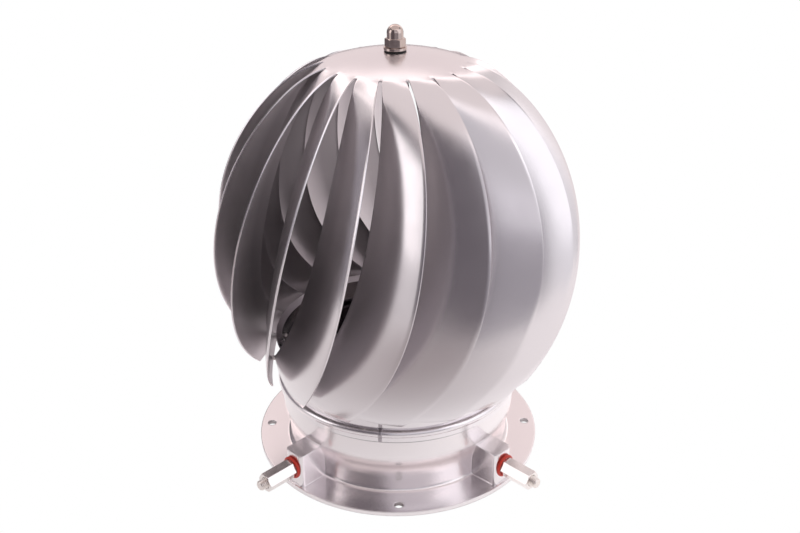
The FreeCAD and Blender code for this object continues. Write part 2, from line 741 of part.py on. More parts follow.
# Stand-off rivets: a head inside the ring, and a collar whose end is welded to the vane
def make_rotor_sheet_metal():
    shape = VaneShape()
    seat = shape.vane(size("rivet_along_ratio"), size("rivet_across_ratio"))
    vane_radius = math.hypot(seat.x, seat.y)
    outward = V(seat.x, seat.y, 0).normalize()
    level = abs(shape.vane_normal(size("rivet_along_ratio"), size("rivet_across_ratio")).dot(outward))
    tilt = math.tan(math.acos(level))
    half_sheet = size("shell_sheet") / 2 / level
    band = value_of(BAND_OUTER)
    inner_wall = value_of(BAND_INNER)
    shank = size("rivet_radius")
    head = size("rivet_head_radius")
    collar = size("rivet_collar")
    thick = size("rivet_head_height")
    head_seat = math.sqrt(inner_wall ** 2 - head ** 2) - size("seat_play")
    collar_end = vane_radius - half_sheet - collar * tilt - size("rivet_stand")
    profile = [
        (inner_wall - thick, 0),
        (inner_wall - thick, head * 0.6),
        (head_seat, head),
        (head_seat, shank),
        (band + size("seat_play"), shank),
        (band + size("seat_play"), collar),
        (collar_end, collar),
        (collar_end, 0),
    ]
    outline = [V(0, 0, seat.z) + outward * reach + AXIS * rise for reach, rise in profile]
    wire = Part.makePolygon(outline + [outline[0]])
    rivet_shape = Part.Face(wire).revolve(V(0, 0, seat.z), outward, 360)
    drill_start = outward * (inner_wall - thick) + AXIS * seat.z
    drill_length = collar_end - inner_wall + thick
    drill_shape = Part.makeCylinder(shank + size("rivet_play"), drill_length, drill_start, outward)

    rivets = []
    drills = []
    for number in range(shape.count):
        turn = FreeCAD.Placement(V(0, 0, 0), FreeCAD.Rotation(AXIS, shape.pitch * number))
        for name, blank, group in (("rivet", rivet_shape, rivets), ("drill", drill_shape, drills)):
            piece = doc.addObject("Part::Feature", f"{name}_{number + 1}")
            piece.Shape = blank
            piece.Placement = turn
            group.append(piece)
    rivet_group = doc.addObject("Part::Compound", "vane_rivets")
    rivet_group.Links = rivets
    drill_group = doc.addObject("Part::Compound", "rivet_drills")
    drill_group.Links = drills

    shell = doc.addObject("Part::Feature", "rotor_shell")
    shell.Shape = shell_blank(shape)
    node(shell, "rotor_shell")
    ring = doc.addObject("Part::Cut", "rotor_ring")
    ring.Base = ring_body()
    ring.Tool = drill_group
    node(ring, "rotor_ring")
    node(rivet_group, "vane_rivets")
    return shape


# Spindle, circlip and the stack that clamps the crown
def make_spindle_stack(shape):
    half_sheet = size("shell_sheet") / 2
    crown_top = shape.crown_height(shape.hole) + half_sheet + size("seat_play")
    clamp = shape.crown_height(size("backing_radius")) - half_sheet - size("seat_play")
    slope = 2 * size("crown_rise") * size("backing_radius") / shape.rim_radius ** 2
    backing_top = clamp - half_sheet * slope
    backing_bottom = backing_top - size("backing_thick")
    seal_top = crown_top + size("top_seal_thick")
    washer_top = seal_top + size("top_washer_thick")
    nut_top = washer_top + size("dome_nut_height")
    thread_top = washer_top + size("dome_nut_depth") - size("thread_end")

    clip_top = f"({HUB_BOTTOM} - Sizes.seat_play)"
    clip_bottom = f"({clip_top} - Sizes.clip_thick)"
    foot = f"({clip_bottom} - Sizes.spindle_foot)"
    groove_radius = f"({SPINDLE} - Sizes.clip_groove)"
    collar_bottom = f"({TUBE_TOP} + Sizes.seat_play)"
    spindle = turned_body("spindle", [
        ("0", foot),
        (SPINDLE, foot),
        (SPINDLE, f"{clip_bottom} - Sizes.seat_play"),
        (groove_radius, f"{clip_bottom} - Sizes.seat_play"),
        (groove_radius, HUB_BOTTOM),
        (SPINDLE, HUB_BOTTOM),
        (SPINDLE, collar_bottom),
        ("Sizes.spindle_collar", collar_bottom),
        ("Sizes.spindle_collar", f"{collar_bottom} + Sizes.spindle_collar_rise"),
        (SPINDLE, f"{collar_bottom} + Sizes.spindle_collar_rise"),
        (SPINDLE, f"{backing_bottom}"),
        ("Sizes.thread_radius", f"{backing_bottom}"),
        ("Sizes.thread_radius", f"{thread_top}"),
        ("0", f"{thread_top}"),
    ])
    node(spindle, "spindle")
    node(turned_body("spindle_clip", [
        (f"{groove_radius} + Sizes.seat_play", clip_bottom),
        ("Sizes.clip_radius", clip_bottom),
        ("Sizes.clip_radius", clip_top),
        (f"{groove_radius} + Sizes.seat_play", clip_top),
    ]), "spindle_clip")
    opening = "(Sizes.thread_radius + Sizes.crown_play)"
    for label, radius, low, high in (
            ("backing_washer", "Sizes.backing_radius", backing_bottom, backing_top),
            ("top_seal", "Sizes.top_seal_radius", crown_top, seal_top),
            ("top_washer", "Sizes.top_washer_radius", seal_top, washer_top)):
        node(turned_body(label, [
            (opening, f"{low}"),
            (radius, f"{low}"),
            (radius, f"{high}"),
            (opening, f"{high}"),
        ]), label)
    make_dome_nut(washer_top, nut_top)


def make_dome_nut(bottom, top):
    """Cap nut: chamfered hexagon with a flat to the front, domed end, blind thread."""
    body = hexagon_body("dome_nut", f"{bottom}", "Sizes.dome_nut_hex")
    body.Placement = FreeCAD.Placement(V(0, 0, 0), FreeCAD.Rotation(AXIS, 1))
    body.setExpression("Placement.Rotation.Angle", "Sizes.dome_nut_angle")
    hexagon_top = f"({bottom} + Sizes.dome_nut_hex)"
    chamfer_hexagon(body, "dome_nut_chamfer", hexagon_top, -1)
    chamfer_hexagon(body, "dome_nut_foot_chamfer", f"{bottom}", 1)
    dome_base = f"({top} - Sizes.dome_radius)"
    sketch = new_sketch(body, "dome_outline", "XZ_Plane")
    draw_outline(sketch, [
        ("0", f"{hexagon_top} - Sizes.nut_chamfer"),
        ("Sizes.dome_radius", f"{hexagon_top} - Sizes.nut_chamfer"),
        ("Sizes.dome_radius", dome_base, "Sizes.dome_radius", 1),
        ("0", f"{top}"),
    ])
    dome = body.newObject("PartDesign::Revolution", "dome")
    dome.Profile = sketch
    dome.ReferenceAxis = (sketch, ["V_Axis"])
    dome.Angle = 360
    thread = "(Sizes.thread_radius + Sizes.thread_play)"
    groove(body, "dome_nut_thread", [
        ("0", f"{bottom}"),
        (thread, f"{bottom}"),
        (thread, f"{bottom} + Sizes.dome_nut_depth"),
        ("0", f"{bottom} + Sizes.dome_nut_depth"),
    ])
    node(body, "dome_nut")


make_base_casting()
make_bearing_hub()
for number in range(1, round(size("boss_count")) + 1):
    make_stud_set(number, size("boss_azimuth") + 360 / size("boss_count") * (number - 1))
make_bearing("lower", HUB_BOTTOM)
make_bearing("upper", f"({TUBE_TOP} - Sizes.bearing_width)")
vane_shape = make_rotor_sheet_metal()
make_spindle_stack(vane_shape)
doc.recompute()

failed = [item.Name for item in doc.Objects if {"Invalid", "Error"} & set(item.State)]
for part in NODES:
    if part.Shape.isNull() or not part.Shape.isValid():
        failed.append(part.Label)
if failed:
    raise RuntimeError(f"These objects failed: {failed}")

os.makedirs("parts", exist_ok=True)
for part in NODES:
    part.Shape.exportStep(f"parts/{part.Label}.step")
    box = part.Shape.BoundBox
    print(f"{part.Label}: {len(part.Shape.Solids)} solids, {part.Shape.Volume:.0f} mm3, "
          f"z {box.ZMin:.2f} to {box.ZMax:.2f}")
print(f"{len(NODES)} pieces")
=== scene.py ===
# %% [markdown]
# # Rotating chimney cowl
# A globe of curved vanes, cut and pressed from one aluminium sheet, turns on a cast base.
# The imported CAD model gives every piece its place. This lesson gives the pieces their looks.

# %% Load the frame
import json
import math

import bmesh
import bpy
import numpy as np
from mathutils import Euler, Matrix, Vector


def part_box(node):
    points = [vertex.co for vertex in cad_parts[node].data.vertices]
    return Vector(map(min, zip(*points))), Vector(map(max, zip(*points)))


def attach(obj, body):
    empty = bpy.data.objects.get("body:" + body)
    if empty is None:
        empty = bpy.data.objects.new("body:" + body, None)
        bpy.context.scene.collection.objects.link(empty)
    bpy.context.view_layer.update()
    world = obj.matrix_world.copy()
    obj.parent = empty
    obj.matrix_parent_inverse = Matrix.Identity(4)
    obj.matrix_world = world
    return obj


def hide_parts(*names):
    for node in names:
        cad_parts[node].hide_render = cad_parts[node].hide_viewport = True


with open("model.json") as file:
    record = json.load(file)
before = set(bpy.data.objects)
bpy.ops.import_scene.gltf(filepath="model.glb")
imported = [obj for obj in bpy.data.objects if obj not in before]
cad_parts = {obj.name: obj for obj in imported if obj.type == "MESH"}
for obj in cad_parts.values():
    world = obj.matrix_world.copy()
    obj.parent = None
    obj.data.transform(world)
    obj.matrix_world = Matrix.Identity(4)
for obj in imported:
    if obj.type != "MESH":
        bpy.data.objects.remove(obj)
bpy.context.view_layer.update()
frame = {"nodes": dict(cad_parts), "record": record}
nodes = frame["nodes"]
scene = bpy.context.scene
MM = 0.001
print("CAD nodes:", len(nodes))

# %% [markdown]
# ## Materials
# Colours are sRGB hex, turned to linear by one function. One small function adds a shader node.
# Grain and scratches are sized in millimetres, on Object coordinates or on the sheet's own UV map.
# Noise lies mostly between NOISE_LOW and NOISE_HIGH, and is spread over the range that is wanted.


# %% Material helpers
NOISE_LOW = 0.3
NOISE_HIGH = 0.7
COLLAR_RADIUS = 90 * MM


def linear(hex_colour):
    """A shader colour from an sRGB hex string."""
    values = []
    for start in (1, 3, 5):
        value = int(hex_colour[start:start + 2], 16) / 255
        values.append(value / 12.92 if value <= 0.04045 else ((value + 0.055) / 1.055) ** 2.4)
    return (*values, 1.0)


def add_node(tree, kind, inputs=None, **settings):
    """Adds a node; inputs are values, or sockets to link from."""
    node = tree.nodes.new(kind)
    for name, value in settings.items():
        setattr(node, name, value)
    for key, value in (inputs or {}).items():
        if isinstance(value, bpy.types.NodeSocket):
            tree.links.new(value, node.inputs[key])
        else:
            node.inputs[key].default_value = value
    return node


def new_material(name, colour, metallic, roughness):
    """A material with one Principled shader."""
    material = bpy.data.materials.new(name)
    material.use_nodes = True
    shader = material.node_tree.nodes["Principled BSDF"]
    shader.inputs["Base Color"].default_value = linear(colour)
    shader.inputs["Metallic"].default_value = metallic
    shader.inputs["Roughness"].default_value = roughness
    return material, material.node_tree, shader


def mixed_colour(tree, factor, first, second):
    """A colour that goes from one colour to another; each is a hex string or a socket."""
    ends = [linear(end) if isinstance(end, str) else end for end in (first, second)]
    return add_node(tree, "ShaderNodeMix", {0: factor, 6: ends[0], 7: ends[1]},
                    data_type="RGBA").outputs[2]


def ramp(tree, value, start, stop):
    """0 before start, 1 after stop."""
    return add_node(tree, "ShaderNodeMapRange", {
        "Value": value, "From Min": start, "From Max": stop}).outputs["Result"]


def maths(tree, operation, first, second=0.0):
    """The result of one sum, product or the like."""
    return add_node(tree, "ShaderNodeMath", {0: first, 1: second}, operation=operation).outputs[0]


def noise(tree, vector, size_mm, detail=2.0):
    """Noise whose blobs are about size_mm long."""
    return add_node(tree, "ShaderNodeTexNoise", {
        "Vector": vector, "Scale": 1 / (size_mm * MM), "Detail": detail}).outputs["Fac"]


def stretched(tree, vector, factors):
    """Coordinates that are scaled along each axis."""
    return add_node(tree, "ShaderNodeVectorMath", {0: vector, 1: factors},
                    operation="MULTIPLY").outputs[0]


def remap(tree, value, low, high):
    """Turns noise into a range of values."""
    return add_node(tree, "ShaderNodeMapRange", {
        "Value": value, "From Min": NOISE_LOW, "From Max": NOISE_HIGH,
        "To Min": low, "To Max": high}).outputs["Result"]


def bump(tree, shader, height, depth_mm, edge_mm=0.0):
    """A fine relief, on edges that are rounded off by edge_mm."""
    relief = add_node(tree, "ShaderNodeBump", {
        "Height": height, "Strength": 1.0, "Distance": depth_mm * MM})
    if edge_mm:
        rounded = add_node(tree, "ShaderNodeBevel", {"Radius": edge_mm * MM}, samples=6)
        tree.links.new(rounded.outputs[0], relief.inputs["Normal"])
    tree.links.new(relief.outputs["Normal"], shader.inputs["Normal"])


def round_coordinates(tree):
    """Object coordinates as (arc on the collar, radius, height), all in metres."""
    place = add_node(tree, "ShaderNodeTexCoord").outputs["Object"]
    parts = add_node(tree, "ShaderNodeSeparateXYZ", {0: place}).outputs
    angle = maths(tree, "ARCTAN2", parts["Y"], parts["X"])
    arc = maths(tree, "MULTIPLY", angle, COLLAR_RADIUS)
    flat = add_node(tree, "ShaderNodeCombineXYZ", {"X": parts["X"], "Y": parts["Y"]}).outputs[0]
    radius = add_node(tree, "ShaderNodeVectorMath", {0: flat}, operation="LENGTH").outputs["Value"]
    return add_node(tree, "ShaderNodeCombineXYZ",
                    {"X": arc, "Y": radius, "Z": parts["Z"]}).outputs[0]


# %% Aluminium
OUTER_SHEET = "#e8e4e6"
# Inner side: its lit colour, the painted-shade colour near the vane's inner edge, and where across
# the vane the shade ends and the lit colour starts.
INNER_LIT_SHEET = "#f2eef0"
INNER_EDGE_SHADE = "#c0bbbe"
INNER_SHADE_END = 0.02
INNER_LIT_START = 0.05
INNER_ROUGHNESS = 0.2
# Painted shade under the ring's lip on the cast base: its colour, and the millimetres over which it
# fades in.
LIP_SHADE = "#4a4548"
LIP_SHADE_FADE_MM = 0.8


def sheet_aluminium():
    """Rolled sheet: bright, grained outside; rougher mill finish inside, painted shade by the inner
    edge.
    """
    material, tree, shader = new_material("polished sheet aluminium", OUTER_SHEET, 1.0, 0.2)
    inner = add_node(tree, "ShaderNodeAttribute", attribute_name="inner").outputs["Fac"]
    place = add_node(tree, "ShaderNodeUVMap", uv_map="UVMap").outputs[0]
    across = add_node(tree, "ShaderNodeSeparateXYZ", {0: place}).outputs["Y"]
    # Painted shade on the inner side: dark near the vane's inner edge, lighter towards its outer
    # edge, where light comes in through the gaps.
    light_share = ramp(tree, across, INNER_SHADE_END, INNER_LIT_START)
    inner_shading = mixed_colour(tree, light_share, INNER_EDGE_SHADE, INNER_LIT_SHEET)
    tree.links.new(mixed_colour(tree, inner, OUTER_SHEET, inner_shading), shader.inputs["Base Color"])
    grain = noise(tree, stretched(tree, place, (0.04, 1, 1)), 0.5)
    pebble = noise(tree, place, 1.6)
    cloud = noise(tree, place, 30)
    rough = maths(tree, "ADD", remap(tree, grain, 0.01, 0.04), remap(tree, cloud, 0.18, 0.23))
    matt = maths(tree, "MULTIPLY", inner, INNER_ROUGHNESS)
    tree.links.new(maths(tree, "ADD", rough, matt), shader.inputs["Roughness"])
    bump(tree, shader, maths(tree, "ADD", grain, pebble), 0.006)
    return material


def round_aluminium(name, colour, low, high, grain_mm, depth_mm, edge_mm=0.0, shade_above_mm=None):
    """Turned or rolled aluminium: fine lines round the upright axis; painted shade above a given
    height.
    """
    material, tree, shader = new_material(name, colour, 1.0, low)
    place = round_coordinates(tree)
    grain = noise(tree, stretched(tree, place, (0.02, 1, 1)), grain_mm)
    cloud = noise(tree, place, 18)
    rough = maths(tree, "ADD", remap(tree, grain, low / 2, high / 2),
                  remap(tree, cloud, low / 2, high / 2))
    tree.links.new(rough, shader.inputs["Roughness"])
    # Painted shade: above the given height the colour turns dark, standing in for the shadow under
    # the ring's lip.
    if shade_above_mm:
        level = add_node(tree, "ShaderNodeSeparateXYZ", {0: place}).outputs["Z"]
        lip_shade = ramp(tree, level, (shade_above_mm - LIP_SHADE_FADE_MM) * MM, shade_above_mm * MM)
        tree.links.new(mixed_colour(tree, lip_shade, colour, LIP_SHADE), shader.inputs["Base Color"])
    bump(tree, shader, grain, depth_mm, edge_mm)
    return material


# %% Steel, silicone and rubber
def steel(name, colour, low, high, grain_mm):
    """Steel with fine scratches and a slightly uneven polish."""
    material, tree, shader = new_material(name, colour, 1.0, low)
    place = add_node(tree, "ShaderNodeTexCoord").outputs["Object"]
    scratch = noise(tree, stretched(tree, place, (1, 1, 0.1)), grain_mm)
    tree.links.new(remap(tree, scratch, low, high), shader.inputs["Roughness"])
    bump(tree, shader, scratch, 0.003, 0.4)
    return material


def soft(name, colour, roughness, grain_mm):
    """Silicone or rubber with a fine moulded grain."""
    material, tree, shader = new_material(name, colour, 0.0, roughness)
    place = add_node(tree, "ShaderNodeTexCoord").outputs["Object"]
    grain = noise(tree, place, grain_mm)
    tree.links.new(remap(tree, grain, roughness - 0.08, roughness + 0.08),
                   shader.inputs["Roughness"])
    bump(tree, shader, grain, 0.01)
    return material


MATERIALS = {
    "sheet_aluminium": round_aluminium("rolled ring aluminium", "#f0ecee", 0.18, 0.28, 0.5, 0.003),
    # The cast base gets painted shade above 51.4 mm, where the ring's lip shades it.
    "cast_aluminium": round_aluminium("turned cast aluminium", "#f0ebec", 0.2, 0.27, 0.6, 0.0004,
                                      edge_mm=1.5, shade_above_mm=51.4),
    "rivet_aluminium": steel("rivet aluminium", "#cfcac7", 0.25, 0.4, 0.5),
    # The hidden hub gets a guessed dark finish; this dark colour is also painted shade for the
    # inside of the flue, as the vanes reflect it.
    "turned_aluminium": round_aluminium("dark hub aluminium", "#3a373a", 0.3, 0.45, 0.4,
                                        0.004),
    "zinc_steel": steel("zinc plated steel", "#f0ebe8", 0.14, 0.26, 0.4),
    "stainless_steel": steel("polished stainless steel", "#c9bab3", 0.06, 0.14, 0.6),
    "bearing_steel": steel("ground bearing steel", "#bdbab9", 0.15, 0.28, 0.4),
    "red_silicone": soft("red silicone", "#c8301c", 0.4, 0.3),
    "black_rubber": soft("black rubber", "#1b1a1a", 0.6, 0.3),
}
VANE_SHEET = sheet_aluminium()
SEAM = steel("dull seam aluminium", "#bab4b8", 0.28, 0.42, 0.5)
THREAD = steel("zinc plated thread", "#ece5e0", 0.2, 0.32, 0.4)
for part in frame["record"]["subparts"]:
    mesh = nodes[part["node"]].data
    mesh.materials.clear()
    mesh.materials.append(MATERIALS[part["material_slot"]])
print("materials:", len(bpy.data.materials))

# %% [markdown]
# ## Rotor shell
# Crown and vanes are one sheet. One sector is worked out by the same rule as the CAD piece: a
# strip of crown, and a vane whose outer edge follows the globe while its inner edge falls back
# towards the ring. Geometry Nodes repeats the sector round the axis and welds the crown.

# %% Sizes of the shell, in millimetres and degrees
GLOBE_RADIUS = 138.6
GLOBE_HALF_HEIGHT = 151.8
CROWN_ANGLE = 21.4
TIP_ANGLE = 126.65
TIP_DROP = 19.2
TIP_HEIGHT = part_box("rotor_ring")[1].z / MM - TIP_DROP
GLOBE_CENTRE = TIP_HEIGHT - GLOBE_HALF_HEIGHT * math.cos(math.radians(TIP_ANGLE))
CROWN_RISE = 8.0
CROWN_HOLE = 4.25
SHEET = 1.2
VANES = 18
PITCH = 360 / VANES
START = -12.53
SLIT_WIDTH = 2.4
SWEEP = (0.0, 2.46, -0.44, -7.73, -25.98)
WRAP = 20.65
BELLY = 30.5
LIFT = 5.0
DIP = 3.25
HOOK = 2.2
ROOT = 0.04
SHOULDER = 3.5
SHOULDER_PLACE = 0.14
RING_CORNER = 98.5
NORMAL_STEP = 1e-4
VANE_ROWS = 57
VANE_COLUMNS = 21
ROW_CROWDING = 1.4
CROWN_ROWS = 14
SLIT_COLUMNS = 4
RIM_RADIUS = GLOBE_RADIUS * math.sin(math.radians(CROWN_ANGLE))
RIM_HEIGHT = GLOBE_CENTRE + GLOBE_HALF_HEIGHT * math.cos(math.radians(CROWN_ANGLE))
SLIT = math.degrees(SLIT_WIDTH / RIM_RADIUS)


# %% One sector of the sheet
VANE_LENGTH_UV = 0.3
VANE_WIDTH_UV = 0.06
CROWN_ARC_UV = 0.04


def polar(radius, azimuth, height):
    """Points in metres; azimuth is from the front (-Y), towards +X."""
    angle = np.radians(azimuth)
    return np.stack([radius * np.sin(angle), -radius * np.cos(angle),
                     height + 0 * angle], axis=-1) * MM


def sweep(along):
    """Azimuth of a vane's outer edge: a quartic through its five quarter points."""
    stations = np.linspace(0, 1, len(SWEEP))
    total = START + 0 * along
    for station, azimuth in zip(stations, SWEEP):
        weight = 1.0
        for other in stations:
            if other != station:
                weight = weight * (along - other) / (station - other)
        total = total + azimuth * weight
    return total


def vane(along, across):
    """Middle of the sheet; along from crown (0) to tip (1), across from inner to outer edge."""
    angle = np.radians(CROWN_ANGLE + (TIP_ANGLE - CROWN_ANGLE) * along)
    outer_radius = GLOBE_RADIUS * np.sin(angle)
    outer_height = GLOBE_CENTRE + GLOBE_HALF_HEIGHT * np.cos(angle)
    tip_inset = GLOBE_RADIUS * math.sin(math.radians(TIP_ANGLE)) - RING_CORNER
    inset = (tip_inset * along + 4 * BELLY * along * (1 - along)) * along / (along + ROOT)
    late = along ** 4
    lag = PITCH - SLIT + WRAP * late
    radius = outer_radius - inset * (1 - across ** (1 + (HOOK - 1) * late))
    near = along / SHOULDER_PLACE
    shoulder = SHOULDER * near * np.exp(1 - near) * across ** 1.5
    edge = LIFT * (1 - across) ** 2 - 4 * DIP * across * (1 - across)
    height = outer_height + shoulder + edge * late
    return polar(radius, sweep(along) - lag * (1 - across), height)


def crown(radius, azimuth):
    """Middle of the sheet on the domed crown."""
    return polar(radius, azimuth, RIM_HEIGHT + CROWN_RISE * (1 - (radius / RIM_RADIUS) ** 2))


def unit(vectors):
    """Vectors of length 1."""
    return vectors / np.linalg.norm(vectors, axis=-1, keepdims=True)


def crown_normal(radius, azimuth):
    """Upward normal of the crown."""
    slope = 2 * CROWN_RISE * radius / RIM_RADIUS ** 2
    return unit(polar(slope, azimuth, 1.0))


def vane_normal(along, across):
    """Outward normal of a vane; where it leaves the crown it is the crown's."""
    step = NORMAL_STEP
    down = vane(np.minimum(along + step, 1), across) - vane(np.maximum(along - step, 0), across)
    over = vane(along, np.minimum(across + step, 1)) - vane(along, np.maximum(across - step, 0))
    normal = unit(np.cross(down, over))
    at_crown = crown_normal(RIM_RADIUS, START - (PITCH - SLIT) * (1 - across))
    return np.where((along == 0)[..., None], at_crown, normal)


class SheetMesh:
    """Collects vertices, faces and UV places of a piece of sheet, with both sides and its edges."""

    def __init__(self):
        self.points = []
        self.faces = []
        self.uvs = []
        self.inner = []

    def add_grid(self, points, normals, uv, edges):
        """A grid of sheet; edges names the sides that are cut edges (top, bottom, left, right)."""
        rows, columns = points.shape[:2]
        first = len(self.points)
        for side in (0.5, -0.5):
            self.points.extend((points + normals * (side * SHEET * MM)).reshape(-1, 3).tolist())
        count = rows * columns
        flat_uv = uv.reshape(-1, 2).tolist()

        def corner(row, column, side):
            return row * columns + column + side * count

        def face(*corners):
            self.faces.append([first + index for index in corners])
            self.uvs.append([flat_uv[index % count] for index in corners])
            self.inner.append(float(min(corners) >= count))

        for row in range(rows - 1):
            for column in range(columns - 1):
                ring = [(row, column), (row + 1, column), (row + 1, column + 1), (row, column + 1)]
                face(*[corner(r, c, 0) for r, c in ring])
                face(*[corner(r, c, 1) for r, c in ring[::-1]])
        borders = {
            "top": [(0, column) for column in range(columns)],
            "right": [(row, columns - 1) for row in range(rows)],
            "bottom": [(rows - 1, column) for column in range(columns - 1, -1, -1)],
            "left": [(row, 0) for row in range(rows - 1, -1, -1)],
        }
        for name in edges:
            border = borders[name]
            for (r0, c0), (r1, c1) in zip(border, border[1:]):
                face(corner(r0, c0, 0), corner(r1, c1, 0), corner(r1, c1, 1), corner(r0, c0, 1))

    def make(self, name):
        """The mesh, with its UV map and an attribute that marks the inner side."""
        mesh = bpy.data.meshes.new(name)
        mesh.from_pydata(self.points, [], self.faces)
        layer = mesh.uv_layers.new(name="UVMap")
        layer.data.foreach_set("uv", np.array([uv for ring in self.uvs for uv in ring],
                                              np.float32).ravel())
        side = mesh.attributes.new("inner", "FLOAT", "FACE")
        side.data.foreach_set("value", self.inner)
        mesh.validate()
        return mesh


def sector_mesh():
    """One vane, the crown above it, and the strip of crown above the slit."""
    sheet = SheetMesh()
    along = np.linspace(0, 1, VANE_ROWS)[:, None] ** ROW_CROWDING
    across = np.linspace(0, 1, VANE_COLUMNS)[None, :]
    along, across = np.broadcast_arrays(along, across)
    uv = np.stack([along * VANE_LENGTH_UV, across * VANE_WIDTH_UV], axis=-1)
    sheet.add_grid(vane(along, across), vane_normal(along, across), uv,
                   ("bottom", "left", "right"))
    radii = np.linspace(CROWN_HOLE, RIM_RADIUS, CROWN_ROWS)[:, None]
    for low, high, columns, edges in (
            (START - PITCH + SLIT, START, VANE_COLUMNS, ("top",)),
            (START, START + SLIT, SLIT_COLUMNS, ("top", "bottom"))):
        azimuth = np.linspace(low, high, columns)[None, :]
        radius, turn = np.broadcast_arrays(radii, azimuth)
        uv = np.stack([radius * MM, np.radians(turn) * CROWN_ARC_UV], axis=-1)
        sheet.add_grid(crown(radius, turn), crown_normal(radius, turn), uv, edges)
    return sheet.make("rotor_sector")


# %% Repeat the sector with Geometry Nodes
def ring_group():
    """Node group: copies of a sector round the axis, welded into one sheet."""
    group = bpy.data.node_groups.new("Vane ring", "GeometryNodeTree")
    interface = group.interface
    interface.new_socket("Geometry", in_out="INPUT", socket_type="NodeSocketGeometry")
    interface.new_socket("Vanes", in_out="INPUT", socket_type="NodeSocketInt")
    interface.new_socket("Weld distance", in_out="INPUT", socket_type="NodeSocketFloat")
    interface.new_socket("Material", in_out="INPUT", socket_type="NodeSocketMaterial")
    interface.new_socket("Geometry", in_out="OUTPUT", socket_type="NodeSocketGeometry")
    source = add_node(group, "NodeGroupInput").outputs
    points = add_node(group, "GeometryNodePoints", {"Count": source["Vanes"]}).outputs[0]
    index = add_node(group, "GeometryNodeInputIndex").outputs[0]
    pitch = maths(group, "DIVIDE", 2 * math.pi, source["Vanes"])
    angle = maths(group, "MULTIPLY", index, pitch)
    turn = add_node(group, "ShaderNodeCombineXYZ", {"Z": angle}).outputs[0]
    rotation = add_node(group, "FunctionNodeEulerToRotation", {"Euler": turn}).outputs[0]
    copies = add_node(group, "GeometryNodeInstanceOnPoints", {
        "Points": points, "Instance": source["Geometry"], "Rotation": rotation}).outputs[0]
    real = add_node(group, "GeometryNodeRealizeInstances", {"Geometry": copies}).outputs[0]
    welded = add_node(group, "GeometryNodeMergeByDistance", {
        "Geometry": real, "Distance": source["Weld distance"]}).outputs[0]
    named = add_node(group, "GeometryNodeSetMaterial", {
        "Geometry": welded, "Material": source["Material"]}).outputs[0]
    add_node(group, "NodeGroupOutput", {"Geometry": named})
    return group


def set_input(modifier, name, value):
    """Sets an input of a node group by its name."""
    for item in modifier.node_group.interface.items_tree:
        if item.item_type == "SOCKET" and item.in_out == "INPUT" and item.name == name:
            modifier[item.identifier] = value


def plain_mesh(obj):
    """Applies an object's modifiers by keeping the evaluated mesh."""
    graph = bpy.context.evaluated_depsgraph_get()
    mesh = bpy.data.meshes.new_from_object(obj.evaluated_get(graph))
    obj.modifiers.clear()
    obj.data = mesh
    return obj


def smooth(mesh, degrees):
    """Smooth shading, with edges sharper than an angle kept sharp."""
    mesh.shade_smooth()
    mesh.set_sharp_from_angle(angle=math.radians(degrees))


WELD_DISTANCE = 0.01 * MM
EDGE_WIDTH = 0.18 * MM
CUT_EDGE_ANGLE = 50
SHELL_SHARP_ANGLE = 35
shell = bpy.data.objects.new("rotor_sheet", sector_mesh())
scene.collection.objects.link(shell)
weld = shell.modifiers.new("Weld", "WELD")
weld.merge_threshold = WELD_DISTANCE
bevel = shell.modifiers.new("Cut edges", "BEVEL")
bevel.width = EDGE_WIDTH
bevel.segments = 2
bevel.limit_method = "ANGLE"
bevel.angle_limit = math.radians(CUT_EDGE_ANGLE)
repeat = shell.modifiers.new("Vane ring", "NODES")
repeat.node_group = ring_group()
set_input(repeat, "Vanes", VANES)
set_input(repeat, "Weld distance", WELD_DISTANCE)
set_input(repeat, "Material", VANE_SHEET)
plain_mesh(shell)
smooth(shell.data, SHELL_SHARP_ANGLE)
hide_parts("rotor_shell")
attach(shell, "rotor")
print("shell triangles:", sum(len(face.vertices) - 2 for face in shell.data.polygons))

# %% [markdown]
# ## Studs and ring seam
# The outer end of each stud has a real thread: a grid round the rod whose radius follows a helix.
# The ring is rolled from a strip, and a raised seam shows where the strip's ends meet.

# %% Threaded studs
STUD_RADIUS = 4.0
STUD_FOOT = 15.52
STUD_TIP = 146.14
STUD_HEIGHT = 19.5
STUD_CHAMFER = 0.8
STUD_AZIMUTHS = (45, 135, 225, 315)
STUD_SIDES = 24
THREAD_PITCH = 1.25
THREAD_DEPTH = 0.75
THREAD_LENGTH = 36.0
THREAD_FLANK = 1.25
ROWS_PER_TURN = 12
THREAD_SHARP_ANGLE = 40


def add_piece(name, points, faces, material):
    """A new object from points in metres, with its faces turned outwards."""
    mesh = bpy.data.meshes.new(name)
    mesh.from_pydata(points, [], faces)
    shape = bmesh.new()
    shape.from_mesh(mesh)
    bmesh.ops.recalc_face_normals(shape, faces=shape.faces)
    shape.to_mesh(mesh)
    shape.free()
    mesh.materials.append(material)
    piece = bpy.data.objects.new(name, mesh)
    scene.collection.objects.link(piece)
    return piece


def tube_faces(rows, columns):
    """Faces of a closed tube of rows of points, with both ends closed."""
    faces = [list(range(columns)), list(range((rows - 1) * columns, rows * columns))]
    for row in range(rows - 1):
        for column in range(columns):
            after = (column + 1) % columns
            first = row * columns
            second = first + columns
            faces.append([first + column, first + after, second + after, second + column])
    return faces


